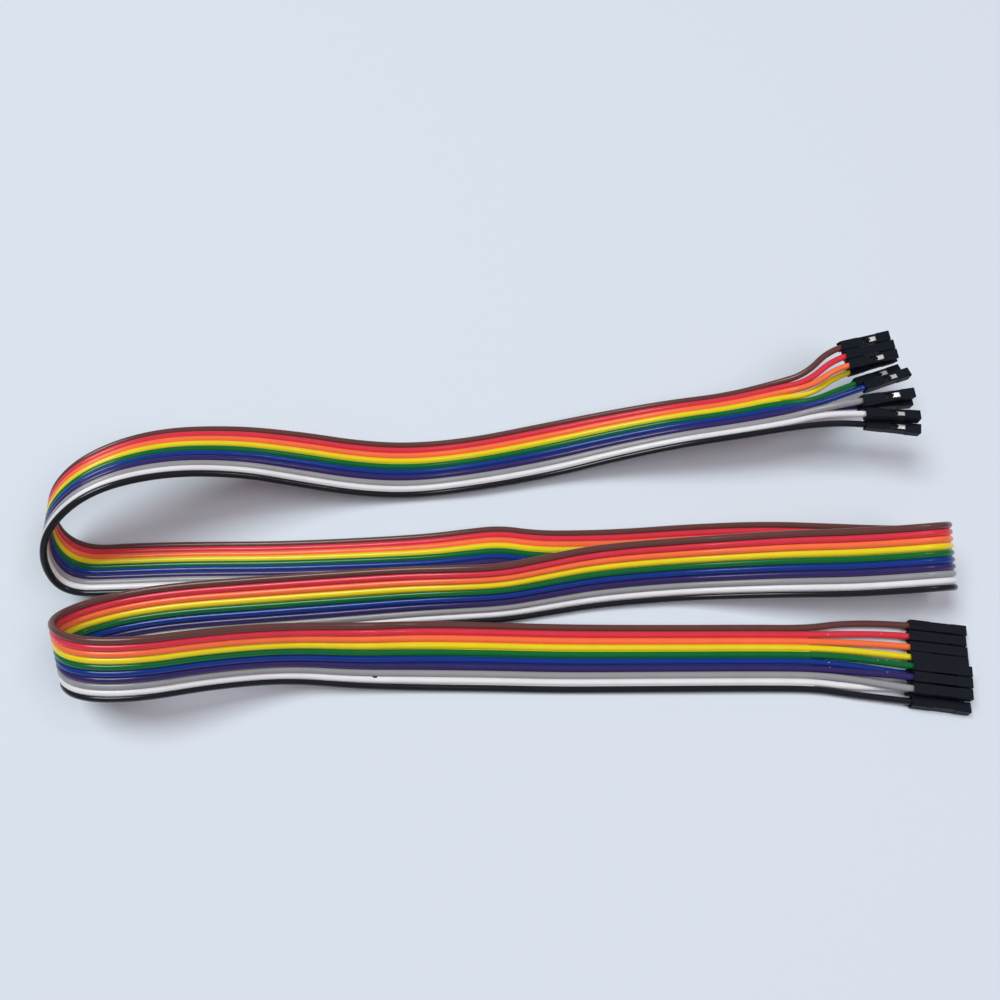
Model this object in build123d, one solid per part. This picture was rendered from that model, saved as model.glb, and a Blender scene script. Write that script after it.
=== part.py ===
from build123d import *
import math
import os

# ----------------------------------------------------------------------------
# Ten-way flat jumper wire ribbon, folded back on itself three times.
# Every wire ends in a one-way crimp contact inside its own black housing.
# Millimetres, +Z up, the surface that the ribbon lies on is Z = 0.
# ----------------------------------------------------------------------------

COLOURS = ("brown", "red", "orange", "yellow", "green",
           "blue", "purple", "grey", "white", "black")

# wires
WIRE_PITCH = 1.68
WIRE_DIAMETER = 1.60
CONDUCTOR_DIAMETER = 0.60
CORE_CLEARANCE = 0.01
CORNER_SHARE = 0.45

# housings
HOUSING_SIDE = 2.54
HOUSING_LENGTH = 13.7
HOUSING_CHAMFER = 0.12
CAVITY_WIDTH = 1.94
CAVITY_HEIGHT = 2.04
FRONT_WALL = 0.75
SOCKET_SIDE = 1.00
SOCKET_LEAD_IN = 0.30
WAIST_START = 4.8
WAIST_END = 10.2
WAIST_DEPTH = 0.13
WINDOW_START = 8.0
WINDOW_END = 9.8
WINDOW_WIDTH = 1.24
LATCH_SLOT_START = 5.8
LATCH_WIDTH = 0.66
DIMPLE_FROM_REAR = 1.75
DIMPLE_DIAMETER = 0.60
DIMPLE_DEPTH = 0.12

# wire ends, measured forward from the rear face of a housing
SLEEVE_END = 4.1
CONDUCTOR_END = 7.1
LEAD_OUT = 2.8

# crimp contacts, measured forward from the rear face of a housing
SHEET = 0.15
FIT_CLEARANCE = 0.01
SLEEVE_BARREL_START = 1.5
SLEEVE_BARREL_END = 3.7
CORE_BARREL_START = 4.3
CORE_BARREL_END = 6.9
STRIP_WIDTH = 0.70
BOX_START = 7.8
BOX_END = 12.9
BOX_WALL = 0.18
LEAF_WIDTH = 0.90
LEAF_THICKNESS = 0.12
LEAF_START = 8.5
LEAF_END = 12.5
LEAF_PINCH = 10.9
PIN_GAP = 0.54

# shift that brings the bottom centre of the whole part to the origin
SHIFT = Vector(-1.08, 7.79, 0.0)

# ribbon middle line: x, y, z, tilt (brown edge up), swing (black edge to +X)
STATIONS = (
    # upper run, from the loose ends towards the first loop
    (74.0, 21.0, 13.6, -8, 0),
    (61.0, 18.9, 11.9, -15, 0),
    (46.0, 17.6, 10.0, -12, 0),
    (30.0, 16.2, 6.0, -7, 0),
    (12.0, 13.4, 2.7, -1, 0),
    (-7.0, 9.7, 2.1, -5, 0),
    (-24.0, 8.0, 1.4, -2, 0),
    (-38.0, 7.5, 4.0, -3, 0),
    (-52.0, 7.3, 9.5, -6, 0),
    (-67.0, 6.2, 16.3, -16, 0),
    (-84.0, 2.3, 22.8, -19, 0),
    # first loop
    (-98.8, -4.8, 25.4, -20, 6),
    (-108.8, -12.0, 20.0, -15, 11),
    (-111.2, -17.9, 11.0, -13, 14),
    (-106.5, -21.8, 4.6, -14, 11),
    # second run, along the surface
    (-94.0, -21.0, 3.9, -19, 4),
    (-78.0, -20.3, 3.6, -21, 0),
    (-57.0, -20.2, 3.6, -21, 0),
    (-35.0, -19.4, 3.6, -19, 0),
    (-18.0, -18.7, 3.8, -15, 0),
    (-8.0, -17.6, 4.0, -13, 0),
    (0.0, -16.7, 4.0, -12, 0),
    (9.0, -17.8, 3.0, -10, 0),
    (20.0, -17.7, 2.4, -9, 0),
    (33.0, -17.2, 2.0, -7, 0),
    (50.0, -15.9, 1.2, -1, 0),
    (69.0, -15.3, 1.3, 2, 0),
    (85.0, -16.6, 2.3, 7, 0),
    # fold
    (97.0, -17.7, 3.1, 13, 3),
    (106.2, -18.2, 3.9, 18, 6),
    (110.2, -19.2, 7.5, 23, 8),
    (110.3, -21.0, 13.0, 29, 9),
    (106.0, -22.7, 16.8, 33, 7),
    # third run, over the second one
    (97.0, -23.5, 16.9, 34, 3),
    (84.5, -23.8, 15.4, 33, 0),
    (72.0, -23.2, 13.1, 35, 0),
    (60.0, -22.8, 10.6, 40, 0),
    (46.0, -22.5, 7.6, 43, 0),
    (33.0, -23.2, 6.7, 42, 0),
    (22.0, -24.4, 6.5, 43, 0),
    (11.0, -26.6, 6.8, 47, 0),
    (1.0, -28.6, 7.1, 51, 0),
    (-10.0, -29.2, 7.0, 50, 0),
    (-22.0, -29.6, 6.5, 44, 0),
    (-37.0, -30.6, 5.9, 39, 0),
    (-57.0, -32.0, 5.5, 37, 0),
    (-79.0, -33.8, 5.8, 39, 0),
    # second loop
    (-92.0, -36.3, 6.6, 42, 0),
    (-101.0, -40.3, 9.4, 44, 0),
    (-102.3, -45.9, 15.6, 44, 2),
    # lower run, back to the other loose ends
    (-95.0, -50.9, 20.4, 46, 0),
    (-82.0, -51.4, 20.6, 49, 0),
    (-65.0, -47.3, 16.0, 52, 0),
    (-49.0, -44.6, 10.8, 51, 0),
    (-34.0, -44.3, 7.0, 39, 0),
    (-19.0, -43.1, 3.0, 14, 0),
    (-3.0, -43.1, 2.1, 8, 0),
    (14.0, -43.4, 1.6, 6, 0),
    (30.0, -43.3, 1.2, 2, 0),
    (47.0, -43.2, 1.1, 0, 0),
    (63.0, -43.1, 1.0, 0, 0),
    (76.0, -43.2, 1.0, 0, 0),
)

# one loose point per wire between the ribbon and the lead-out of its housing
START_FAN = {
    "brown": (80.9, 29.5, 15.4),
    "red": (81.4, 27.5, 14.8),
    "orange": (82.0, 25.7, 15.6),
    "yellow": (81.8, 24.2, 13.7),
    "green": (82.0, 22.7, 12.7),
    "blue": (82.3, 21.1, 13.4),
    "purple": (81.0, 19.6, 14.6),
    "grey": (80.8, 17.9, 16.2),
    "white": (82.2, 16.2, 16.6),
    "black": (82.2, 14.1, 15.8),
}
END_FAN = {
    "brown": (85.4, -34.4, 1.0),
    "red": (85.0, -37.1, 1.0),
    "orange": (85.2, -39.3, 1.0),
    "yellow": (85.2, -41.2, 1.0),
    "green": (85.0, -43.0, 1.3),
    "blue": (84.8, -44.9, 1.0),
    "purple": (84.8, -46.6, 1.3),
    "grey": (84.6, -48.5, 1.8),
    "white": (84.4, -50.2, 1.0),
    "black": (84.4, -52.1, 1.0),
}

# groups of housings: rear middle point, yaw, pitch, roll (far side up), then the
# members with their shift forward, towards the near side and up, latch side up
START_GROUPS = (
    ((90.2, 36.65, 17.6), 14.5, 0.0, 20.0, (
        ("brown", 0.0, 0.0, 0.0, True),
        ("red", 0.6, 2.62, 0.0, False),
        ("orange", 0.8, 5.24, 0.0, True),
    )),
    ((93.5, 32.1, 12.6), 18.5, 0.0, 18.0, (
        ("yellow", 0.0, 0.0, 0.0, False),
    )),
    ((95.2, 29.2, 11.0), 20.5, -2.0, 2.0, (
        ("green", 0.0, 0.0, 0.0, True),
        ("blue", 0.4, 2.58, 2.0, True),
    )),
    ((92.3, 18.9, 19.4), 9.0, 0.0, 12.0, (
        ("grey", 0.0, 0.0, 0.0, True),
    )),
    ((92.6, 19.0, 16.5), 5.0, 0.0, 8.0, (
        ("purple", 0.0, 0.0, 0.0, False),
    )),
    ((92.9, 15.6, 18.4), -3.5, 0.0, 0.0, (
        ("white", 0.0, 0.0, 0.0, True),
    )),
    ((93.8, 14.2, 15.6), -7.5, 0.0, 10.0, (
        ("black", 0.0, 0.0, 0.0, True),
    )),
)
END_GROUPS = (
    ((101.3, -35.0, 1.27), -7.0, 0.0, 0.0, (
        ("brown", 0.0, 0.0, 0.0, False),
        ("red", -0.3, 2.75, 0.0, False),
        ("orange", -0.2, 5.5, 0.0, False),
        ("yellow", -0.2, 8.1, 0.0, False),
        ("green", -0.8, 11.1, 2.56, False),
        ("blue", -1.1, 12.4, 0.0, False),
        ("purple", -0.9, 13.8, 2.56, False),
        ("grey", -1.1, 16.6, 2.56, False),
        ("white", -1.5, 16.2, 0.0, False),
    )),
    ((98.2, -53.9, 1.40), -7.5, 0.0, -6.0, (
        ("black", 0.0, 0.0, 0.0, False),
    )),
)


# ----------------------------------------------------------------------------
# frames and routes
# ----------------------------------------------------------------------------

def unit_between(first, second):
    return (second - first).normalized()


def station_tangent(points, index):
    if index == 0:
        return unit_between(points[0], points[1])
    if index == len(points) - 1:
        return unit_between(points[-2], points[-1])
    before = unit_between(points[index - 1], points[index])
    after = unit_between(points[index], points[index + 1])
    return (before + after).normalized()


def station_width(tangent, tilt, swing):
    tilt = math.radians(tilt)
    swing = math.radians(swing)
    across = Vector(math.sin(swing) * math.cos(tilt),
                    -math.cos(swing) * math.cos(tilt),
                    -math.sin(tilt))
    return (across - tangent * across.dot(tangent)).normalized()


def ribbon_points(number):
    points = [Vector(x, y, z) for x, y, z, tilt, swing in STATIONS]
    offset = (number - (len(COLOURS) - 1) / 2) * WIRE_PITCH
    route = []
    for index, (x, y, z, tilt, swing) in enumerate(STATIONS):
        tangent = station_tangent(points, index)
        width = station_width(tangent, tilt, swing)
        route.append(points[index] + width * offset)
    return route


def group_axes(yaw, pitch, roll):
    yaw = math.radians(yaw)
    pitch = math.radians(pitch)
    roll = math.radians(roll)
    forward = Vector(math.cos(pitch) * math.cos(yaw),
                     math.cos(pitch) * math.sin(yaw),
                     math.sin(pitch))
    level_side = Vector(math.sin(yaw), -math.cos(yaw), 0)
    level_up = Vector(-math.sin(pitch) * math.cos(yaw),
                      -math.sin(pitch) * math.sin(yaw),
                      math.cos(pitch))
    side = level_side * math.cos(roll) - level_up * math.sin(roll)
    up = level_up * math.cos(roll) + level_side * math.sin(roll)
    return forward, side, up


def housing_planes(groups):
    planes = {}
    for origin, yaw, pitch, roll, members in groups:
        forward, side, up = group_axes(yaw, pitch, roll)
        for colour, along, across, above, latch_up in members:
            rear = Vector(*origin) + forward * along + side * across + up * above
            z_dir = up if latch_up else up * -1
            planes[colour] = Plane(origin=rear, x_dir=forward, z_dir=z_dir)
    return planes


def wire_route(number, start_plane, end_plane):
    colour = COLOURS[number]
    route = [start_plane.origin + start_plane.x_dir * SLEEVE_END]
    route.append(start_plane.origin - start_plane.x_dir * LEAD_OUT)
    route.append(Vector(*START_FAN[colour]))
    route.extend(ribbon_points(number))
    route.append(Vector(*END_FAN[colour]))
    route.append(end_plane.origin - end_plane.x_dir * LEAD_OUT)
    route.append(end_plane.origin + end_plane.x_dir * SLEEVE_END)
    return route


def corner_radii(route):
    radii = []
    for index in range(1, len(route) - 1):
        before = route[index] - route[index - 1]
        after = route[index + 1] - route[index]
        half_turn = math.radians(before.get_angle(after)) / 2
        shorter = min(before.length, after.length)
        radii.append(CORNER_SHARE * shorter / math.tan(half_turn))
    return radii


# ----------------------------------------------------------------------------
# wires
# ----------------------------------------------------------------------------

def swept_tube(route, radii, outer, inner):
    path = FilletPolyline(*route, radius=radii)
    section_plane = Plane(origin=path @ 0, z_dir=path % 0)
    section = Circle(outer)
    if inner > 0:
        section -= Circle(inner)
    return sweep(section_plane * section, path=path)


def sleeve(route, radii):
    bore = CONDUCTOR_DIAMETER / 2 + CORE_CLEARANCE
    return swept_tube(route, radii, WIRE_DIAMETER / 2, bore)


def conductor(route, radii):
    bare = CONDUCTOR_END - SLEEVE_END
    longer = list(route)
    longer[0] = route[0] + unit_between(route[1], route[0]) * bare
    longer[-1] = route[-1] + unit_between(route[-2], route[-1]) * bare
    return swept_tube(longer, radii, CONDUCTOR_DIAMETER / 2, 0)


# ----------------------------------------------------------------------------
# housing, along +X from its rear face, latch side up
# ----------------------------------------------------------------------------

def block(x_start, x_end, width, z_low, z_high, y_middle=0.0):
    size = (x_end - x_start, width, z_high - z_low)
    middle = ((x_start + x_end) / 2, y_middle, (z_low + z_high) / 2)
    return Pos(*middle) * Box(*size)


def housing_shell():
    half = HOUSING_SIDE / 2
    shell = block(0, HOUSING_LENGTH, HOUSING_SIDE, -half, half)
    shell = chamfer(shell.edges().filter_by(Axis.X), HOUSING_CHAMFER)
    shell -= waist(half)
    shell -= waist(-half)
    return shell


def waist(y_side):
    half = HOUSING_SIDE / 2
    return block(WAIST_START, WAIST_END, 2 * WAIST_DEPTH, -half, half, y_side)


def housing_cavity():
    half = CAVITY_HEIGHT / 2
    return block(-1, HOUSING_LENGTH - FRONT_WALL, CAVITY_WIDTH, -half, half)


def housing_socket():
    half = SOCKET_SIDE / 2
    hole = block(HOUSING_LENGTH - 2, HOUSING_LENGTH + 1, SOCKET_SIDE, -half, half)
    mouth_side = SOCKET_SIDE + 2 * SOCKET_LEAD_IN
    mouth_plane = Plane(origin=(HOUSING_LENGTH, 0, 0), z_dir=(-1, 0, 0))
    mouth = mouth_plane * Rectangle(mouth_side, mouth_side)
    throat_plane = mouth_plane.offset(SOCKET_LEAD_IN)
    throat = throat_plane * Rectangle(SOCKET_SIDE, SOCKET_SIDE)
    return hole + loft([mouth, throat])


def latch_window():
    low = CAVITY_HEIGHT / 2 - 0.2
    high = HOUSING_SIDE / 2 + 0.2
    slot_width = (WINDOW_WIDTH - LATCH_WIDTH) / 2
    slot_middle = (WINDOW_WIDTH + LATCH_WIDTH) / 4
    window = block(WINDOW_START, WINDOW_END, WINDOW_WIDTH, low, high)
    window += block(LATCH_SLOT_START, WINDOW_START, slot_width, low, high, slot_middle)
    window += block(LATCH_SLOT_START, WINDOW_START, slot_width, low, high, -slot_middle)
    return window


def rear_dimple():
    depth = -HOUSING_SIDE / 2 + DIMPLE_DEPTH / 2
    return Pos(DIMPLE_FROM_REAR, 0, depth) * Cylinder(DIMPLE_DIAMETER / 2, DIMPLE_DEPTH)


def housing():
    body = housing_shell()
    body -= housing_cavity()
    body -= housing_socket()
    body -= latch_window()
    body -= rear_dimple()
    return body


# ----------------------------------------------------------------------------
# crimp contact, along +X from the rear face of its housing, latch side up
# ----------------------------------------------------------------------------

def barrel(x_start, x_end, inner):
    length = x_end - x_start
    place = Plane(origin=(x_start, 0, 0), z_dir=(1, 0, 0))
    return extrude(place * (Circle(inner + SHEET) - Circle(inner)), length)


def contact_box():
    width = CAVITY_WIDTH - 2 * FIT_CLEARANCE
    half = CAVITY_HEIGHT / 2 - FIT_CLEARANCE
    box = block(BOX_START, BOX_END, width, -half, half)
    box -= block(BOX_START - 1, BOX_END + 1, width - 2 * BOX_WALL, -half + BOX_WALL, half - BOX_WALL)
    return box


def spring_leaf(sign):
    wall = CAVITY_HEIGHT / 2 - FIT_CLEARANCE - BOX_WALL / 2
    pinch = PIN_GAP / 2
    outline = Polyline(
        (LEAF_START, sign * wall),
        (LEAF_PINCH, sign * pinch),
        (LEAF_END, sign * wall),
        (LEAF_END - 4 * LEAF_THICKNESS, sign * wall),
        (LEAF_PINCH, sign * (pinch + LEAF_THICKNESS)),
        (LEAF_START + 4 * LEAF_THICKNESS, sign * wall),
        close=True,
    )
    face = make_face(Plane.XZ * outline)
    return extrude(face, LEAF_WIDTH / 2, both=True)


def carrier_strip():
    low = -WIRE_DIAMETER / 2 - CORE_CLEARANCE - SHEET
    core_low = -CONDUCTOR_DIAMETER / 2 - CORE_CLEARANCE - SHEET / 2
    box_low = -CAVITY_HEIGHT / 2 + FIT_CLEARANCE
    strip = block(SLEEVE_BARREL_END - 0.1, CORE_BARREL_START + SHEET, STRIP_WIDTH, low, low + SHEET)
    strip += block(CORE_BARREL_START, CORE_BARREL_START + SHEET, STRIP_WIDTH, low, core_low)
    strip += block(CORE_BARREL_END - SHEET, CORE_BARREL_END, STRIP_WIDTH, box_low, core_low)
    strip += block(CORE_BARREL_END - SHEET, BOX_START + 0.1, STRIP_WIDTH, box_low, box_low + SHEET)
    return strip


def contact():
    body = barrel(SLEEVE_BARREL_START, SLEEVE_BARREL_END, WIRE_DIAMETER / 2 + CORE_CLEARANCE)
    body += barrel(CORE_BARREL_START, CORE_BARREL_END, CONDUCTOR_DIAMETER / 2 + CORE_CLEARANCE)
    body += carrier_strip()
    body += contact_box()
    body += spring_leaf(1)
    body += spring_leaf(-1)
    return body


# ----------------------------------------------------------------------------
# build
# ----------------------------------------------------------------------------

def save(shape, name):
    export_step(Pos(SHIFT) * shape, "parts/" + name + ".step")


def save_end(place, name_start, planes, shape):
    for colour in COLOURS:
        save(planes[colour].location * shape, place + "_" + name_start + "_" + colour)


def main():
    os.makedirs("parts", exist_ok=True)
    start_planes = housing_planes(START_GROUPS)
    end_planes = housing_planes(END_GROUPS)
    for number, colour in enumerate(COLOURS):
        route = wire_route(number, start_planes[colour], end_planes[colour])
        radii = corner_radii(route)
        print(colour, "smallest radius", round(min(radii), 1))
        save(sleeve(route, radii), "wire_" + colour)
        save(conductor(route, radii), "conductor_" + colour)
    one_housing = housing()
    one_contact = contact()
    save_end("start", "housing", start_planes, one_housing)
    save_end("start", "contact", start_planes, one_contact)
    save_end("end", "housing", end_planes, one_housing)
    save_end("end", "contact", end_planes, one_contact)


main()
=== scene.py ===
import bpy
import bmesh
import math
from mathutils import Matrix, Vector


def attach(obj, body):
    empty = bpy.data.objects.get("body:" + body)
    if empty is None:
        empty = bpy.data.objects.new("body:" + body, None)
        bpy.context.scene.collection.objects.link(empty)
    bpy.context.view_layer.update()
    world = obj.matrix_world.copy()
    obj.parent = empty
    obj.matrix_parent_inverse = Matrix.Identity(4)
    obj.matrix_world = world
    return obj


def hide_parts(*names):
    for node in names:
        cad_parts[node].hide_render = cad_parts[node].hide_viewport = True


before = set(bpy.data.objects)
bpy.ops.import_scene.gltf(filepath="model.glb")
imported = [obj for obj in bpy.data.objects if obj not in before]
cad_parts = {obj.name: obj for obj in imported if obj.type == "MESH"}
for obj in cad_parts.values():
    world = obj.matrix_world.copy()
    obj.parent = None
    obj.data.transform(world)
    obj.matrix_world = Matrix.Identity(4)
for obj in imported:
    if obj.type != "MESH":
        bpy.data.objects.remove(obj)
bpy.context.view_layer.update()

COLOURS = ("brown", "red", "orange", "yellow", "green",
           "blue", "purple", "grey", "white", "black")

# ---------------------------------------------------------------- sizes (m)
WIRE_PITCH = 0.00168
WIRE_RADIUS = WIRE_PITCH / 2
CORE_RADIUS = 0.00030
STRAND_RADIUS = 0.00010
STRAND_COUNT = 7
STRAND_TWIST = 900.0                # radians per metre
BOND_RADIUS = 0.00028
SLEEVE_END = 0.0041                 # how far the insulation reaches into a housing
BARE_LENGTH = 0.0030                # how far the strands stand out of the insulation
LEAD_OUT = 0.0028                   # from a housing back to its wire's first turning point
SHIFT = Vector((-0.00108, 0.00779, 0.0))    # from the layout to the middle of the frame
TO_MM = 1000.0

# fineness of the tubes
ROUTE_STEPS = 8
CORE_STEPS = 4
STRAND_STEPS = 12
SLEEVE_SIDES = 16
BOND_SIDES = 8
CORE_SIDES = 8
STRAND_SIDES = 6

# a trimmed curve's sockets for its two lengths
TRIM_FROM = 4
TRIM_TO = 5

# ---------------------------------------------------------------- the layout (m, deg)
# ribbon middle line: x, y, z, tilt, swing
STATIONS = (
    (0.074, 0.021, 0.0136, -8, 0),
    (0.061, 0.0189, 0.0119, -15, 0),
    (0.046, 0.0176, 0.01, -12, 0),
    (0.03, 0.0162, 0.006, -7, 0),
    (0.012, 0.0134, 0.0027, -1, 0),
    (-0.007, 0.0097, 0.0021, -5, 0),
    (-0.024, 0.008, 0.0014, -2, 0),
    (-0.038, 0.0075, 0.004, -3, 0),
    (-0.052, 0.0073, 0.0095, -6, 0),
    (-0.067, 0.0062, 0.0163, -16, 0),
    (-0.084, 0.0023, 0.0228, -19, 0),
    (-0.0988, -0.0048, 0.0254, -20, 6),
    (-0.1088, -0.012, 0.02, -15, 11),
    (-0.1112, -0.0179, 0.011, -13, 14),
    (-0.1065, -0.0218, 0.0046, -14, 11),
    (-0.094, -0.021, 0.0039, -19, 4),
    (-0.078, -0.0203, 0.0036, -21, 0),
    (-0.057, -0.0202, 0.0036, -21, 0),
    (-0.035, -0.0194, 0.0036, -19, 0),
    (-0.018, -0.0187, 0.0038, -15, 0),
    (-0.008, -0.0176, 0.004, -13, 0),
    (0.0, -0.0167, 0.004, -12, 0),
    (0.009, -0.0178, 0.003, -10, 0),
    (0.02, -0.0177, 0.0024, -9, 0),
    (0.033, -0.0172, 0.002, -7, 0),
    (0.05, -0.0159, 0.0012, -1, 0),
    (0.069, -0.0153, 0.0013, 2, 0),
    (0.085, -0.0166, 0.0023, 7, 0),
    (0.097, -0.0177, 0.0031, 13, 3),
    (0.1062, -0.0182, 0.0039, 18, 6),
    (0.1102, -0.0192, 0.0075, 23, 8),
    (0.1103, -0.021, 0.013, 29, 9),
    (0.106, -0.0227, 0.0168, 33, 7),
    (0.097, -0.0235, 0.0169, 34, 3),
    (0.0845, -0.0238, 0.0154, 33, 0),
    (0.072, -0.0232, 0.0131, 35, 0),
    (0.06, -0.0228, 0.0106, 40, 0),
    (0.046, -0.0225, 0.0076, 43, 0),
    (0.033, -0.0232, 0.0067, 42, 0),
    (0.022, -0.0244, 0.0065, 43, 0),
    (0.011, -0.0266, 0.0068, 47, 0),
    (0.001, -0.0286, 0.0071, 51, 0),
    (-0.01, -0.0292, 0.007, 50, 0),
    (-0.022, -0.0296, 0.0065, 44, 0),
    (-0.037, -0.0306, 0.0059, 39, 0),
    (-0.057, -0.032, 0.0055, 37, 0),
    (-0.079, -0.0338, 0.0058, 39, 0),
    (-0.092, -0.0363, 0.0066, 42, 0),
    (-0.101, -0.0403, 0.0094, 44, 0),
    (-0.1023, -0.0459, 0.0156, 44, 2),
    (-0.095, -0.0509, 0.0204, 46, 0),
    (-0.082, -0.0514, 0.0206, 49, 0),
    (-0.065, -0.0473, 0.016, 52, 0),
    (-0.049, -0.0446, 0.0108, 51, 0),
    (-0.034, -0.0443, 0.007, 39, 0),
    (-0.019, -0.0431, 0.003, 14, 0),
    (-0.003, -0.0431, 0.0021, 8, 0),
    (0.014, -0.0434, 0.0016, 6, 0),
    (0.03, -0.0433, 0.0012, 2, 0),
    (0.047, -0.0432, 0.0011, 0, 0),
    (0.063, -0.0431, 0.001, 0, 0),
    (0.076, -0.0432, 0.001, 0, 0),
)
# one point on each wire between the ribbon and its housing
START_FAN = {
    "brown": (0.0809, 0.0295, 0.0154),
    "red": (0.0814, 0.0275, 0.0148),
    "orange": (0.082, 0.0257, 0.0156),
    "yellow": (0.0818, 0.0242, 0.0137),
    "green": (0.082, 0.0227, 0.0127),
    "blue": (0.0823, 0.0211, 0.0134),
    "purple": (0.081, 0.0196, 0.0146),
    "grey": (0.0808, 0.0179, 0.0162),
    "white": (0.0822, 0.0162, 0.0166),
    "black": (0.0822, 0.0141, 0.0158),
}
END_FAN = {
    "brown": (0.0854, -0.0344, 0.001),
    "red": (0.085, -0.0371, 0.001),
    "orange": (0.0852, -0.0393, 0.001),
    "yellow": (0.0852, -0.0412, 0.001),
    "green": (0.085, -0.043, 0.0013),
    "blue": (0.0848, -0.0449, 0.001),
    "purple": (0.0848, -0.0466, 0.0013),
    "grey": (0.0846, -0.0485, 0.0018),
    "white": (0.0844, -0.0502, 0.001),
    "black": (0.0844, -0.0521, 0.001),
}
# groups of housings: rear point, yaw, pitch, roll, and each one's place along, across and above
START_GROUPS = (
    ((0.0902, 0.03665, 0.0176), 14.5, 0.0, 20.0, (
        ("brown", 0.0, 0.0, 0.0),
        ("red", 0.0006, 0.00262, 0.0),
        ("orange", 0.0008, 0.00524, 0.0),
    )),
    ((0.0935, 0.0321, 0.0126), 18.5, 0.0, 18.0, (
        ("yellow", 0.0, 0.0, 0.0),
    )),
    ((0.0952, 0.0292, 0.011), 20.5, -2.0, 2.0, (
        ("green", 0.0, 0.0, 0.0),
        ("blue", 0.0004, 0.00258, 0.002),
    )),
    ((0.0923, 0.0189, 0.0194), 9.0, 0.0, 12.0, (
        ("grey", 0.0, 0.0, 0.0),
    )),
    ((0.0926, 0.019, 0.0165), 5.0, 0.0, 8.0, (
        ("purple", 0.0, 0.0, 0.0),
    )),
    ((0.0929, 0.0156, 0.0184), -3.5, 0.0, 0.0, (
        ("white", 0.0, 0.0, 0.0),
    )),
    ((0.0938, 0.0142, 0.0156), -7.5, 0.0, 10.0, (
        ("black", 0.0, 0.0, 0.0),
    )),
)
END_GROUPS = (
    ((0.1013, -0.035, 0.00127), -7.0, 0.0, 0.0, (
        ("brown", 0.0, 0.0, 0.0),
        ("red", -0.0003, 0.00275, 0.0),
        ("orange", -0.0002, 0.0055, 0.0),
        ("yellow", -0.0002, 0.0081, 0.0),
        ("green", -0.0008, 0.0111, 0.00256),
        ("blue", -0.0011, 0.0124, 0.0),
        ("purple", -0.0009, 0.0138, 0.00256),
        ("grey", -0.0011, 0.0166, 0.00256),
        ("white", -0.0015, 0.0162, 0.0),
    )),
    ((0.0982, -0.0539, 0.0014), -7.5, 0.0, -6.0, (
        ("black", 0.0, 0.0, 0.0),
    )),
)

# ---------------------------------------------------------------- colours and marks
# base colours of the insulation, linear
WIRE_COLOUR = {
    "brown": (0.123, 0.046, 0.041),
    "red": (0.685, 0.036, 0.062),
    "orange": (0.920, 0.170, 0.055),
    "yellow": (0.785, 0.648, 0.013),
    "green": (0.0015, 0.134, 0.031),
    "blue": (0.005, 0.033, 0.232),
    "purple": (0.031, 0.021, 0.118),
    "grey": (0.295, 0.300, 0.320),
    "white": (0.768, 0.778, 0.806),
    "black": (0.009, 0.011, 0.016),
}
INK = (0.010, 0.010, 0.012, 1)
DUST = (0.52, 0.56, 0.54, 1)
# small marks on the insulation: place along (mm), place round (deg), radius (mm), stretch, colour
MARKS = {
    "red": ((880.5, 150, 0.09, 1.6, DUST), (893.5, 128, 0.08, 1.0, DUST)),
    "orange": ((891.0, 92, 0.10, 1.2, DUST), (886.5, 104, 0.07, 1.0, DUST)),
    "green": ((891.0, 118, 0.08, 1.0, DUST), (893.0, 84, 0.10, 1.3, DUST)),
    "blue": ((879.5, 123, 0.08, 1.4, DUST),),
    "purple": ((874.2, 84, 0.08, 1.4, DUST), (887.5, 86, 0.10, 1.2, DUST)),
    "grey": ((887.0, 84, 0.09, 1.2, DUST),),
    "white": ((763.9, 90, 0.26, 1.9, INK), (885.5, 150, 0.09, 1.0, DUST)),
}
MARK_EDGE = 1.5                     # a mark fades out at this many times its radius

# the insulation's tone: streaks drawn out along the wire, over a soft cloud
STREAK_DRAW = 0.12
STREAK_SHARE = 0.45
CLOUD_SHARE = 0.62
DEEP_TONE = 0.84
LIGHT_TONE = 1.10
LIGHT_LIFT = 0.004

# ---------------------------------------------------------------- camera, lamps and floor
CAMERA_PLACE = Vector((0.0, -0.1012, 0.2170))
CAMERA_TILT = 25.0                  # degrees up from straight down
CAMERA_LENS = 32.4                  # mm
CAMERA_SENSOR = 36.0                # mm
CAMERA_NEAR = 0.005
# name, place, diameter, power, colour, whether glossy surfaces mirror it
LAMPS = (
    ("key", (-0.78, 0.38, 2.02), 1.20, 32.8, (0.935, 1.0, 0.975), True),
    ("second", (1.02, -0.56, 1.87), 1.40, 19.2, (1.0, 0.91, 0.90), False),
    ("glint", (1.21, 0.44, 1.78), 0.34, 3.0, (1.0, 0.96, 0.96), True),
)
SKY_COLOUR = (0.96, 0.80, 0.92, 1)
SKY_STRENGTH = 0.178
BACKDROP_COLOUR = (0.67, 0.74, 0.83, 1)
FLOOR_COLOUR = (0.648, 0.716, 0.798, 1)
FLOOR_HALF_WIDTH = 3.0
FLOOR_GAP = 0.00002                 # how far the floor lies below the wires


# ---------------------------------------------------------------- the route
def unit_between(first, second):
    return (second - first).normalized()


def station_tangent(points, index):
    if index == 0:
        return unit_between(points[0], points[1])
    if index == len(points) - 1:
        return unit_between(points[-2], points[-1])
    before = unit_between(points[index - 1], points[index])
    after = unit_between(points[index], points[index + 1])
    return (before + after).normalized()


def station_width(tangent, tilt, swing):
    """The way across the ribbon, square to its run."""
    tilt = math.radians(tilt)
    swing = math.radians(swing)
    across = Vector((math.sin(swing) * math.cos(tilt),
                     -math.cos(swing) * math.cos(tilt),
                     -math.sin(tilt)))
    return (across - tangent * across.dot(tangent)).normalized()


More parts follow.
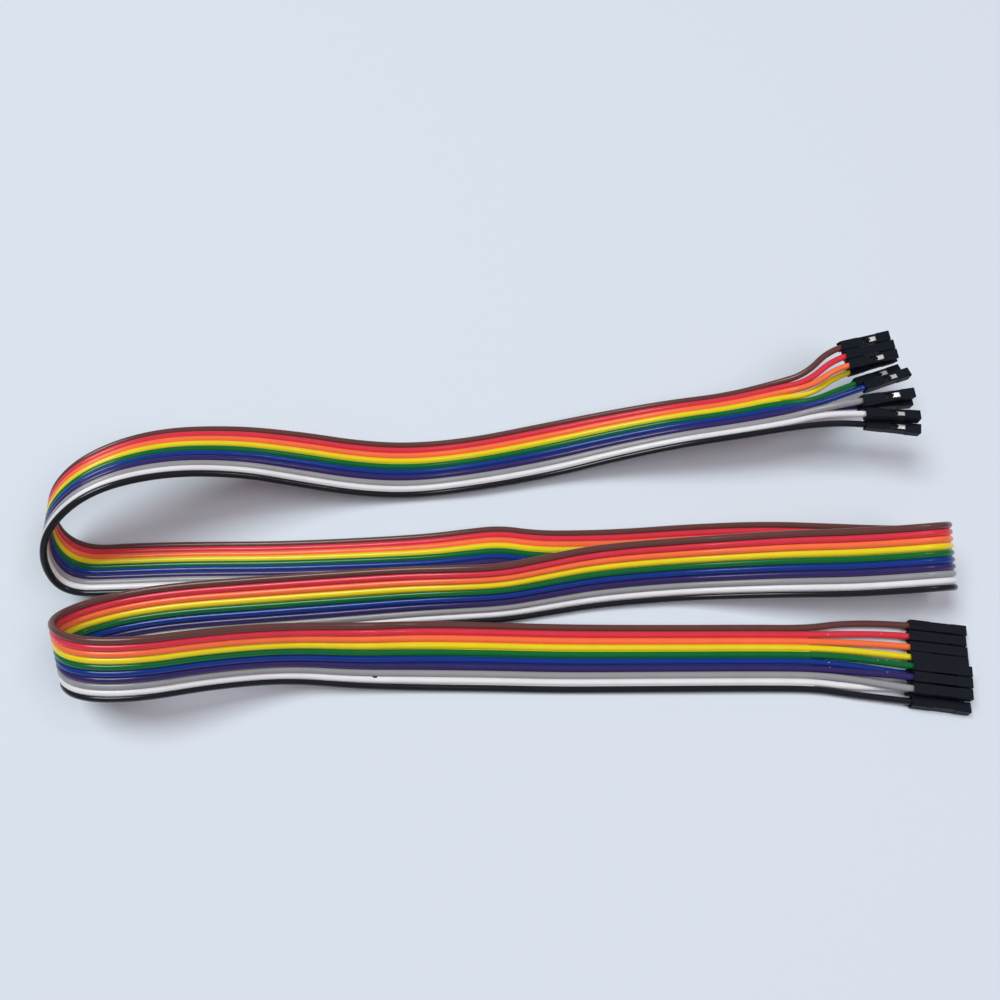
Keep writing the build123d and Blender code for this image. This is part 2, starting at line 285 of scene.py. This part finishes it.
def ribbon_points(number):
    """One wire's points in the bonded ribbon; a half number lies between two wires."""
    points = [Vector(station[:3]) for station in STATIONS]
    offset = (number - (len(COLOURS) - 1) / 2) * WIRE_PITCH
    route = []
    for index, station in enumerate(STATIONS):
        tangent = station_tangent(points, index)
        width = station_width(tangent, station[3], station[4])
        route.append(points[index] + width * offset)
    return route


def housing_poses(groups):
    """Each housing's rear point and the way it faces."""
    poses = {}
    for origin, yaw, pitch, roll, members in groups:
        yaw, pitch, roll = (math.radians(angle) for angle in (yaw, pitch, roll))
        forward = Vector((math.cos(pitch) * math.cos(yaw),
                          math.cos(pitch) * math.sin(yaw),
                          math.sin(pitch)))
        level_side = Vector((math.sin(yaw), -math.cos(yaw), 0))
        level_up = Vector((-math.sin(pitch) * math.cos(yaw),
                           -math.sin(pitch) * math.sin(yaw),
                           math.cos(pitch)))
        side = level_side * math.cos(roll) - level_up * math.sin(roll)
        up = level_up * math.cos(roll) + level_side * math.sin(roll)
        for colour, along, across, above in members:
            rear = Vector(origin) + forward * along + side * across + up * above
            poses[colour] = (rear, forward)
    return poses


START = housing_poses(START_GROUPS)
END = housing_poses(END_GROUPS)


def wire_route(number, bare=0.0):
    """A wire's whole way, from inside its start housing to inside its end housing."""
    colour = COLOURS[number]
    start, start_forward = START[colour]
    end, end_forward = END[colour]
    reach = SLEEVE_END + bare
    route = [start + start_forward * reach, start - start_forward * LEAD_OUT]
    route.append(Vector(START_FAN[colour]))
    route.extend(ribbon_points(number))
    route.append(Vector(END_FAN[colour]))
    route.extend([end - end_forward * LEAD_OUT, end + end_forward * reach])
    return [point + SHIFT for point in route]


# ---------------------------------------------------------------- shader helpers
def new_material(name):
    material = bpy.data.materials.new(name)
    material.use_nodes = True
    tree = material.node_tree
    return material, tree, tree.nodes["Principled BSDF"]


def add(tree, kind, **values):
    """A new node; a value goes to the input of that name, or else to the setting."""
    node = tree.nodes.new(kind)
    for key, value in values.items():
        if key in node.inputs.keys():
            node.inputs[key].default_value = value
        else:
            setattr(node, key, value)
    return node


def math_node(tree, operation, *values):
    """One sum on numbers or on other nodes' outputs."""
    node = add(tree, "ShaderNodeMath", operation=operation)
    for socket, value in zip(node.inputs, values):
        if isinstance(value, bpy.types.NodeSocket):
            tree.links.new(value, socket)
        else:
            socket.default_value = value
    return node.outputs[0]


def noise(tree, place, scale, detail):
    node = add(tree, "ShaderNodeTexNoise", Scale=scale, Detail=detail)
    tree.links.new(place, node.inputs["Vector"])
    return node.outputs["Fac"]


def blend(tree, factor, first, second):
    """A colour that goes from the first to the second with the factor."""
    node = add(tree, "ShaderNodeMix", data_type="RGBA")
    tree.links.new(factor, node.inputs["Factor"])
    node.inputs["A"].default_value = first
    node.inputs["B"].default_value = second
    return node


def spread(tree, value, low, high):
    node = add(tree, "ShaderNodeMapRange")
    node.inputs["To Min"].default_value = low
    node.inputs["To Max"].default_value = high
    tree.links.new(value, node.inputs["Value"])
    return node


def rough_between(tree, shader, value, low, high):
    """Roughness that goes from low to high with a value."""
    tree.links.new(spread(tree, value, low, high).outputs["Result"], shader.inputs["Roughness"])


def relief(tree, shader, height, strength, distance):
    """A fine unevenness that only the light shows."""
    bump = add(tree, "ShaderNodeBump", Strength=strength, Distance=distance)
    tree.links.new(height, bump.inputs["Height"])
    tree.links.new(bump.outputs["Normal"], shader.inputs["Normal"])


# ---------------------------------------------------------------- materials
def add_marks(tree, place, colour, marks):
    """Lays small round or drawn-out marks over a colour, each at its own place on the wire."""
    link = tree.links.new
    for along, turn, radius, stretch, tint in marks:
        turn = math.radians(turn)
        reach = WIRE_RADIUS * TO_MM
        offset = add(tree, "ShaderNodeVectorMath", operation="SUBTRACT")
        offset.inputs[1].default_value = (reach * math.cos(turn), reach * math.sin(turn), along)
        link(place, offset.inputs[0])
        shape = add(tree, "ShaderNodeVectorMath", operation="MULTIPLY")
        shape.inputs[1].default_value = (1.0, 1.0, 1.0 / stretch)
        link(offset.outputs[0], shape.inputs[0])
        size = add(tree, "ShaderNodeVectorMath", operation="LENGTH")
        link(shape.outputs[0], size.inputs[0])
        edge = spread(tree, size.outputs["Value"], 1.0, 0.0)
        edge.inputs["From Min"].default_value = radius
        edge.inputs["From Max"].default_value = radius * MARK_EDGE
        cover = blend(tree, edge.outputs["Result"], tint, tint)
        link(colour, cover.inputs["A"])
        colour = cover.outputs["Result"]
    return colour


def insulation_material(colour):
    """Smooth plastic with faint streaks along the wire, a soft cloud and its own marks."""
    material, tree, shader = new_material("insulation_" + colour)
    base = WIRE_COLOUR[colour]
    place = add(tree, "ShaderNodeAttribute", attribute_name="wire_coord").outputs["Vector"]
    drawn_out = add(tree, "ShaderNodeMapping", Scale=(1.0, 1.0, STREAK_DRAW))
    tree.links.new(place, drawn_out.inputs["Vector"])
    streak = noise(tree, drawn_out.outputs["Vector"], scale=3.2, detail=3.0)
    cloud = noise(tree, place, scale=0.16, detail=2.0)
    clouded = math_node(tree, "MULTIPLY", cloud, CLOUD_SHARE)
    share = math_node(tree, "MULTIPLY_ADD", streak, STREAK_SHARE, clouded)
    deep = tuple(channel * DEEP_TONE for channel in base) + (1,)
    light = tuple(min(1.0, channel * LIGHT_TONE + LIGHT_LIFT) for channel in base) + (1,)
    tone = blend(tree, share, deep, light).outputs["Result"]
    tree.links.new(add_marks(tree, place, tone, MARKS.get(colour, ())), shader.inputs["Base Color"])
    rough_between(tree, shader, streak, low=0.13, high=0.19)
    relief(tree, shader, streak, strength=0.10, distance=0.00006)
    shader.inputs["IOR"].default_value = 1.53
    shader.inputs["Specular IOR Level"].default_value = 0.36
    return material


def metal_material(name, scale, detail, dull, bright, metallic):
    """Bare metal with a fine uneven tone; gives its tree, its shader and that grain too."""
    material, tree, shader = new_material(name)
    place = add(tree, "ShaderNodeTexCoord").outputs["Object"]
    grain = noise(tree, place, scale, detail)
    tone = blend(tree, grain, dull, bright)
    tree.links.new(tone.outputs["Result"], shader.inputs["Base Color"])
    shader.inputs["Metallic"].default_value = metallic
    return material, tree, shader, grain


def core_material():
    material, _, shader, _ = metal_material(
        "strand_copper", scale=4200.0, detail=2.0,
        dull=(0.60, 0.27, 0.15, 1), bright=(0.86, 0.50, 0.33, 1), metallic=1.0)
    shader.inputs["Roughness"].default_value = 0.28
    return material


def contact_material():
    material, tree, shader, grain = metal_material(
        "tin_plate", scale=5200.0, detail=3.0,
        dull=(0.84, 0.85, 0.80, 1), bright=(0.96, 0.97, 0.93, 1), metallic=0.68)
    rough_between(tree, shader, grain, low=0.18, high=0.42)
    return material


def housing_material():
    """Black moulded plastic, matt, with a fine grain and a slight smear."""
    material, tree, shader = new_material("housing_plastic")
    place = add(tree, "ShaderNodeTexCoord").outputs["Object"]
    grain = noise(tree, place, scale=9000.0, detail=3.0)
    smear = noise(tree, place, scale=420.0, detail=4.0)
    tone = blend(tree, smear, (0.0030, 0.0052, 0.0100, 1), (0.0060, 0.0088, 0.0155, 1))
    tree.links.new(tone.outputs["Result"], shader.inputs["Base Color"])
    rough_between(tree, shader, smear, low=0.42, high=0.62)
    relief(tree, shader, grain, strength=0.18, distance=0.00002)
    shader.inputs["IOR"].default_value = 1.50
    shader.inputs["Specular IOR Level"].default_value = 0.16
    return material


COPPER = core_material()
TIN = contact_material()
BLACK_PLASTIC = housing_material()


# ---------------------------------------------------------------- geometry nodes
def new_tree(name, entries):
    """A tree with its geometry socket and its named inputs; gives its two end nodes too."""
    tree = bpy.data.node_groups.new(name, "GeometryNodeTree")
    tree.interface.new_socket("Geometry", in_out="INPUT", socket_type="NodeSocketGeometry")
    for entry, kind in entries:
        tree.interface.new_socket(entry, in_out="INPUT", socket_type="NodeSocket" + kind)
    tree.interface.new_socket("Geometry", in_out="OUTPUT", socket_type="NodeSocketGeometry")
    return tree, tree.nodes.new("NodeGroupInput"), tree.nodes.new("NodeGroupOutput")


def end_tree(tree, geometry, source, result):
    """Smooth shading, real geometry and the piece's material, as every tree ends."""
    link = tree.links.new
    smooth = tree.nodes.new("GeometryNodeSetShadeSmooth")
    link(geometry, smooth.inputs["Geometry"])
    real = tree.nodes.new("GeometryNodeRealizeInstances")
    link(smooth.outputs["Geometry"], real.inputs["Geometry"])
    paint = tree.nodes.new("GeometryNodeSetMaterial")
    link(real.outputs["Geometry"], paint.inputs["Geometry"])
    link(source.outputs["Material"], paint.inputs["Material"])
    link(paint.outputs["Geometry"], result.inputs["Geometry"])
    return tree


def circle_profile(tree, radius, sides):
    circle = tree.nodes.new("GeometryNodeCurvePrimitiveCircle")
    tree.links.new(radius, circle.inputs["Radius"])
    if isinstance(sides, int):
        circle.inputs["Resolution"].default_value = sides
    else:
        tree.links.new(sides, circle.inputs["Resolution"])
    return circle.outputs["Curve"]


def swept(tree, curve, profile):
    """A closed body that follows a curve."""
    body = tree.nodes.new("GeometryNodeCurveToMesh")
    body.inputs["Fill Caps"].default_value = True
    tree.links.new(curve, body.inputs["Curve"])
    tree.links.new(profile, body.inputs["Profile Curve"])
    return body.outputs["Mesh"]


def captured(tree, geometry, kind, name, value):
    """Keeps a value on a curve's points; gives the curve and the kept value."""
    keep = tree.nodes.new("GeometryNodeCaptureAttribute")
    keep.capture_items.new(kind, name)
    tree.links.new(geometry, keep.inputs["Geometry"])
    tree.links.new(value, keep.inputs[1])
    return keep.outputs["Geometry"], keep.outputs[1]


def scaled(tree, vector, factor):
    node = add(tree, "ShaderNodeVectorMath", operation="SCALE")
    tree.links.new(vector, node.inputs[0])
    if isinstance(factor, float):
        node.inputs["Scale"].default_value = factor
    else:
        tree.links.new(factor, node.inputs["Scale"])
    return node.outputs[0]


def tube_tree():
    """A round tube along a curve, with a coordinate in mm that runs round and along it."""
    entries = (("Radius", "Float"), ("Sides", "Int"), ("Material", "Material"))
    tree, source, result = new_tree("tube_along_route", entries)
    link = tree.links.new
    length = tree.nodes.new("GeometryNodeSplineParameter").outputs["Length"]
    curve, along = captured(tree, source.outputs["Geometry"], "FLOAT", "along", length)
    circle = circle_profile(tree, source.outputs["Radius"], source.outputs["Sides"])
    place = tree.nodes.new("GeometryNodeInputPosition").outputs["Position"]
    profile, round_about = captured(tree, circle, "VECTOR", "round", place)
    parts = tree.nodes.new("ShaderNodeSeparateXYZ")
    link(round_about, parts.inputs[0])
    join = tree.nodes.new("ShaderNodeCombineXYZ")
    link(parts.outputs["X"], join.inputs["X"])
    link(parts.outputs["Y"], join.inputs["Y"])
    link(along, join.inputs["Z"])
    store = tree.nodes.new("GeometryNodeStoreNamedAttribute")
    store.data_type = "FLOAT_VECTOR"
    store.domain = "POINT"
    store.inputs["Name"].default_value = "wire_coord"
    link(swept(tree, curve, profile), store.inputs["Geometry"])
    link(scaled(tree, join.outputs[0], TO_MM), store.inputs["Value"])
    return end_tree(tree, store.outputs["Geometry"], source, result)


def strand_offset(tree, source, number):
    """How far each strand lies from the middle, turning as it goes; the last one lies in it."""
    link = tree.links.new
    along = tree.nodes.new("GeometryNodeSplineParameter").outputs["Length"]
    normal = tree.nodes.new("GeometryNodeInputNormal").outputs["Normal"]
    tangent = tree.nodes.new("GeometryNodeInputTangent").outputs["Tangent"]
    side = add(tree, "ShaderNodeVectorMath", operation="CROSS_PRODUCT")
    link(tangent, side.inputs[0])
    link(normal, side.inputs[1])
    ring = math_node(tree, "SUBTRACT", source.outputs["Strands"], 1.0)
    start = math_node(tree, "DIVIDE", math_node(tree, "MULTIPLY", number, 2 * math.pi), ring)
    turn = math_node(tree, "ADD", start, math_node(tree, "MULTIPLY", along, source.outputs["Twist"]))
    outer = math_node(tree, "LESS_THAN", number, math_node(tree, "SUBTRACT", ring, 0.5))
    width = math_node(tree, "MULTIPLY", source.outputs["Strand Radius"], 2.0)
    reach = math_node(tree, "MULTIPLY", outer, width)
    total = add(tree, "ShaderNodeVectorMath", operation="ADD")
    for socket, operation, direction in ((0, "COSINE", normal), (1, "SINE", side.outputs[0])):
        share = math_node(tree, "MULTIPLY", reach, math_node(tree, operation, turn))
        link(scaled(tree, direction, share), total.inputs[socket])
    return total.outputs[0]


def strand_bundle(tree, curve, source):
    """Copies of a short curve wound round one another, each swept to a thin round strand."""
    link = tree.links.new
    even = add(tree, "GeometryNodeResampleCurve", Count=STRAND_STEPS)
    link(curve, even.inputs["Curve"])
    copies = add(tree, "GeometryNodeDuplicateElements", domain="SPLINE")
    link(even.outputs["Curve"], copies.inputs["Geometry"])
    link(source.outputs["Strands"], copies.inputs["Amount"])
    move = tree.nodes.new("GeometryNodeSetPosition")
    link(copies.outputs["Geometry"], move.inputs["Geometry"])
    link(strand_offset(tree, source, copies.outputs["Duplicate Index"]), move.inputs["Offset"])
    profile = circle_profile(tree, source.outputs["Strand Radius"], STRAND_SIDES)
    return swept(tree, move.outputs["Geometry"], profile)


def core_tree():
    """A round core whose two bare ends open into a twist of fine strands."""
    entries = (("Radius", "Float"), ("Strand Radius", "Float"), ("Strands", "Int"),
               ("Twist", "Float"), ("Bare Length", "Float"), ("Material", "Material"))
    tree, source, result = new_tree("stranded_core", entries)
    link = tree.links.new
    whole = tree.nodes.new("GeometryNodeSplineLength").outputs["Length"]
    bare = source.outputs["Bare Length"]
    rest = math_node(tree, "SUBTRACT", whole, bare)
    join = tree.nodes.new("GeometryNodeJoinGeometry")
    for begin, end, stranded in ((bare, rest, False), (None, bare, True), (rest, whole, True)):
        trim = add(tree, "GeometryNodeTrimCurve", mode="LENGTH")
        link(source.outputs["Geometry"], trim.inputs["Curve"])
        if begin is None:
            trim.inputs[TRIM_FROM].default_value = 0.0
        else:
            link(begin, trim.inputs[TRIM_FROM])
        link(end, trim.inputs[TRIM_TO])
        stretch = trim.outputs["Curve"]
        if stranded:
            body = strand_bundle(tree, stretch, source)
        else:
            body = swept(tree, stretch, circle_profile(tree, source.outputs["Radius"], CORE_SIDES))
        link(body, join.inputs["Geometry"])
    return end_tree(tree, join.outputs["Geometry"], source, result)


TUBE = tube_tree()
CORE = core_tree()


# ---------------------------------------------------------------- curves to meshes
def route_curve(name, points, resolution):
    data = bpy.data.curves.new(name, "CURVE")
    data.dimensions = "3D"
    data.twist_mode = "MINIMUM"
    spline = data.splines.new("NURBS")
    spline.points.add(len(points) - 1)
    for control, point in zip(spline.points, points):
        control.co = (*point, 1.0)
    spline.order_u = 3
    spline.use_endpoint_u = True
    spline.resolution_u = resolution
    return data


def made_mesh(maker):
    """A plain mesh of what an object shows; the object and its curve go."""
    bpy.context.view_layer.update()
    shown = maker.evaluated_get(bpy.context.evaluated_depsgraph_get())
    mesh = bpy.data.meshes.new_from_object(shown)
    data = maker.data
    bpy.data.objects.remove(maker)
    bpy.data.curves.remove(data)
    return mesh


def route_object(name, points, resolution):
    maker = bpy.data.objects.new(name, route_curve(name, points, resolution))
    bpy.context.scene.collection.objects.link(maker)
    return maker


def route_line(name, points, resolution):
    """Points read from the route's own NURBS spline, with no bevel."""
    mesh = made_mesh(route_object(name + "_line", points, resolution))
    line = [vertex.co.copy() for vertex in mesh.vertices]
    bpy.data.meshes.remove(mesh)
    return line


def along_route(name, points, resolution, tree, values):
    """A piece that a tree makes along a route, as a plain mesh."""
    maker = route_object(name + "_route", points, resolution)
    modifier = maker.modifiers.new("nodes", "NODES")
    modifier.node_group = tree
    for item in tree.interface.items_tree:
        if item.item_type == "SOCKET" and item.in_out == "INPUT" and item.name in values:
            modifier[item.identifier] = values[item.name]
    mesh = made_mesh(maker)
    mesh.name = name
    piece = bpy.data.objects.new(name, mesh)
    bpy.context.scene.collection.objects.link(piece)
    return piece


# ---------------------------------------------------------------- wires
def make_bonds(paints):
    """The thin bead of plastic that holds each pair of neighbours together."""
    for number in range(len(COLOURS) - 1):
        first, second = COLOURS[number], COLOURS[number + 1]
        route = [point + SHIFT for point in ribbon_points(number + 0.5)]
        bead = along_route("bond_%s_%s" % (first, second), route, ROUTE_STEPS, TUBE,
                           {"Radius": BOND_RADIUS, "Sides": BOND_SIDES, "Material": paints[first]})
        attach(bead, "root")


def make_sleeve(number, colour, paint):
    """The insulation of one wire; gives the line through its middle too."""
    route = wire_route(number)
    line = route_line("wire_" + colour, route, ROUTE_STEPS)
    sleeve = along_route("sleeve_" + colour, route, ROUTE_STEPS, TUBE,
                         {"Radius": WIRE_RADIUS, "Sides": SLEEVE_SIDES, "Material": paint})
    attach(sleeve, "root")
    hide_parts("wire_" + colour)
    return sleeve, line


def make_core(number, colour):
    """The copper inside one wire, with its bare twisted ends."""
    core = along_route("core_" + colour, wire_route(number, BARE_LENGTH), CORE_STEPS, CORE,
                       {"Radius": CORE_RADIUS, "Strand Radius": STRAND_RADIUS,
                        "Strands": STRAND_COUNT, "Twist": STRAND_TWIST,
                        "Bare Length": BARE_LENGTH, "Material": COPPER})
    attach(core, "root")
    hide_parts("conductor_" + colour)


def make_wires():
    paints = {colour: insulation_material(colour) for colour in COLOURS}
    make_bonds(paints)
    for number, colour in enumerate(COLOURS):
        sleeve, line = make_sleeve(number, colour, paints[colour])
        make_core(number, colour)


def dress_cad():
    """The housings and the contacts keep their own meshes and get their materials."""
    for name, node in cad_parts.items():
        if "_housing_" in name:
            paint = BLACK_PLASTIC
        elif "_contact_" in name:
            paint = TIN
        else:
            continue
        if node.material_slots:
            for entry in node.material_slots:
                entry.material = paint
        else:
            node.data.materials.append(paint)


# ---------------------------------------------------------------- camera and light
def make_camera():
    data = bpy.data.cameras.new("camera")
    data.sensor_width = CAMERA_SENSOR
    data.lens = CAMERA_LENS
    data.clip_start = CAMERA_NEAR
    camera = bpy.data.objects.new("camera", data)
    camera.location = CAMERA_PLACE + SHIFT
    camera.rotation_euler = (math.radians(CAMERA_TILT), 0, 0)
    bpy.context.scene.collection.objects.link(camera)
    bpy.context.scene.camera = camera


def make_floor():
    mesh = bpy.data.meshes.new("floor")
    work = bmesh.new()
    bmesh.ops.create_grid(work, x_segments=1, y_segments=1, size=FLOOR_HALF_WIDTH)
    work.to_mesh(mesh)
    work.free()
    floor = bpy.data.objects.new("floor", mesh)
    floor.location = (0, 0, -FLOOR_GAP)
    bpy.context.scene.collection.objects.link(floor)
    material, _, shader = new_material("floor_paint")
    shader.inputs["Base Color"].default_value = FLOOR_COLOUR
    shader.inputs["Roughness"].default_value = 0.80
    shader.inputs["Specular IOR Level"].default_value = 0.25
    mesh.materials.append(material)


def make_lamp(name, place, diameter, power, colour, mirrored):
    """A round lamp that points at the middle of the floor."""
    data = bpy.data.lights.new(name, "AREA")
    data.shape = "DISK"
    data.size = diameter
    data.energy = power
    data.color = colour
    lamp = bpy.data.objects.new(name, data)
    lamp.location = place
    lamp.visible_glossy = mirrored
    lamp.rotation_mode = "QUATERNION"
    lamp.rotation_quaternion = (-Vector(place)).to_track_quat("-Z", "Y")
    bpy.context.scene.collection.objects.link(lamp)


def make_sky():
    """A faint tinted sky for the light, and a pale backdrop that only the camera sees."""
    world = bpy.data.worlds.new("sky")
    world.use_nodes = True
    nodes = world.node_tree.nodes
    link = world.node_tree.links.new
    sky = nodes["Background"]
    sky.inputs["Color"].default_value = SKY_COLOUR
    sky.inputs["Strength"].default_value = SKY_STRENGTH
    backdrop = nodes.new("ShaderNodeBackground")
    backdrop.inputs["Color"].default_value = BACKDROP_COLOUR
    path = nodes.new("ShaderNodeLightPath")
    choose = nodes.new("ShaderNodeMixShader")
    link(path.outputs["Is Camera Ray"], choose.inputs["Fac"])
    link(sky.outputs[0], choose.inputs[1])
    link(backdrop.outputs[0], choose.inputs[2])
    link(choose.outputs[0], nodes["World Output"].inputs["Surface"])
    bpy.context.scene.world = world


make_camera()
make_floor()
make_sky()
for lamp_values in LAMPS:
    make_lamp(*lamp_values)
make_wires()
dress_cad()

bpy.context.scene.view_settings.view_transform = "Standard"
